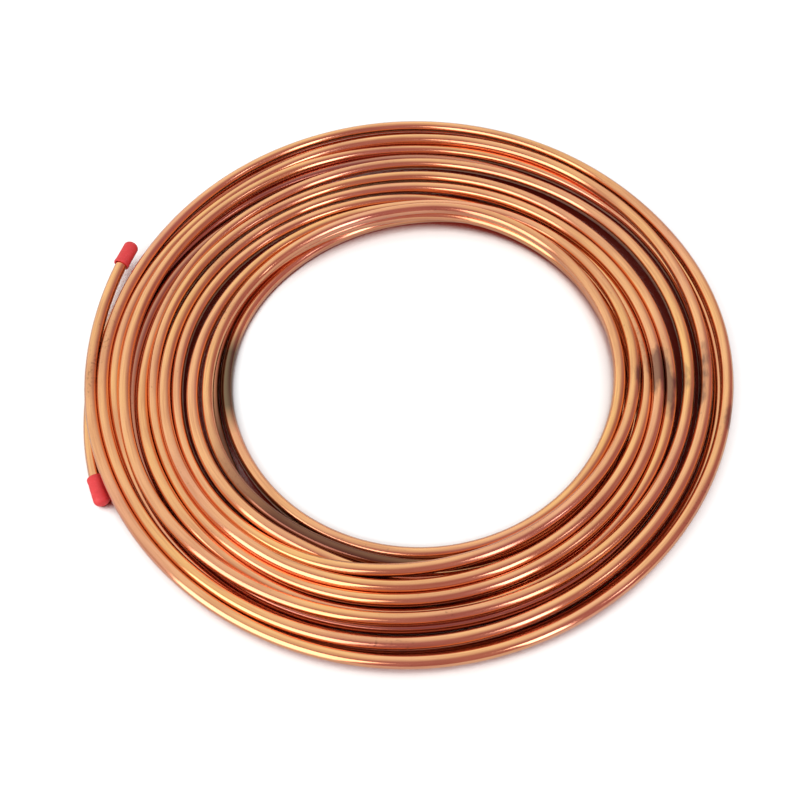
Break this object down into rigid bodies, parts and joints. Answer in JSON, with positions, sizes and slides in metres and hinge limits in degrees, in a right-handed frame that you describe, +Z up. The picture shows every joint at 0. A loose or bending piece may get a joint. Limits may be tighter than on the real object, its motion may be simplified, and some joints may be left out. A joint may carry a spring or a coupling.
{
  "type": "copper tube coil",
  "caption": "Flat coil of soft copper tube, wound in nested layers around an open eye, its ends left on the outside and closed with push-on caps.",
  "frame": {"origin": "on the coil's axis, at the level of the floor that its lowest turns lie on", "axes": "+Z up along the coil's axis, +X away from the side where the tube ends leave the coil, +Y away from the viewer of the picture"},
  "size_m": [0.3381, 0.3304, 0.0157],
  "materials": {
    "copper": "bright drawn copper with light tarnish",
    "cap_plastic": "soft satin red plastic"
  },
  "bodies": {
    "root": {"tube_coil": "copper", "upper_end_cap": "cap_plastic", "lower_end_cap": "cap_plastic"}
  },
  "joints": []
}
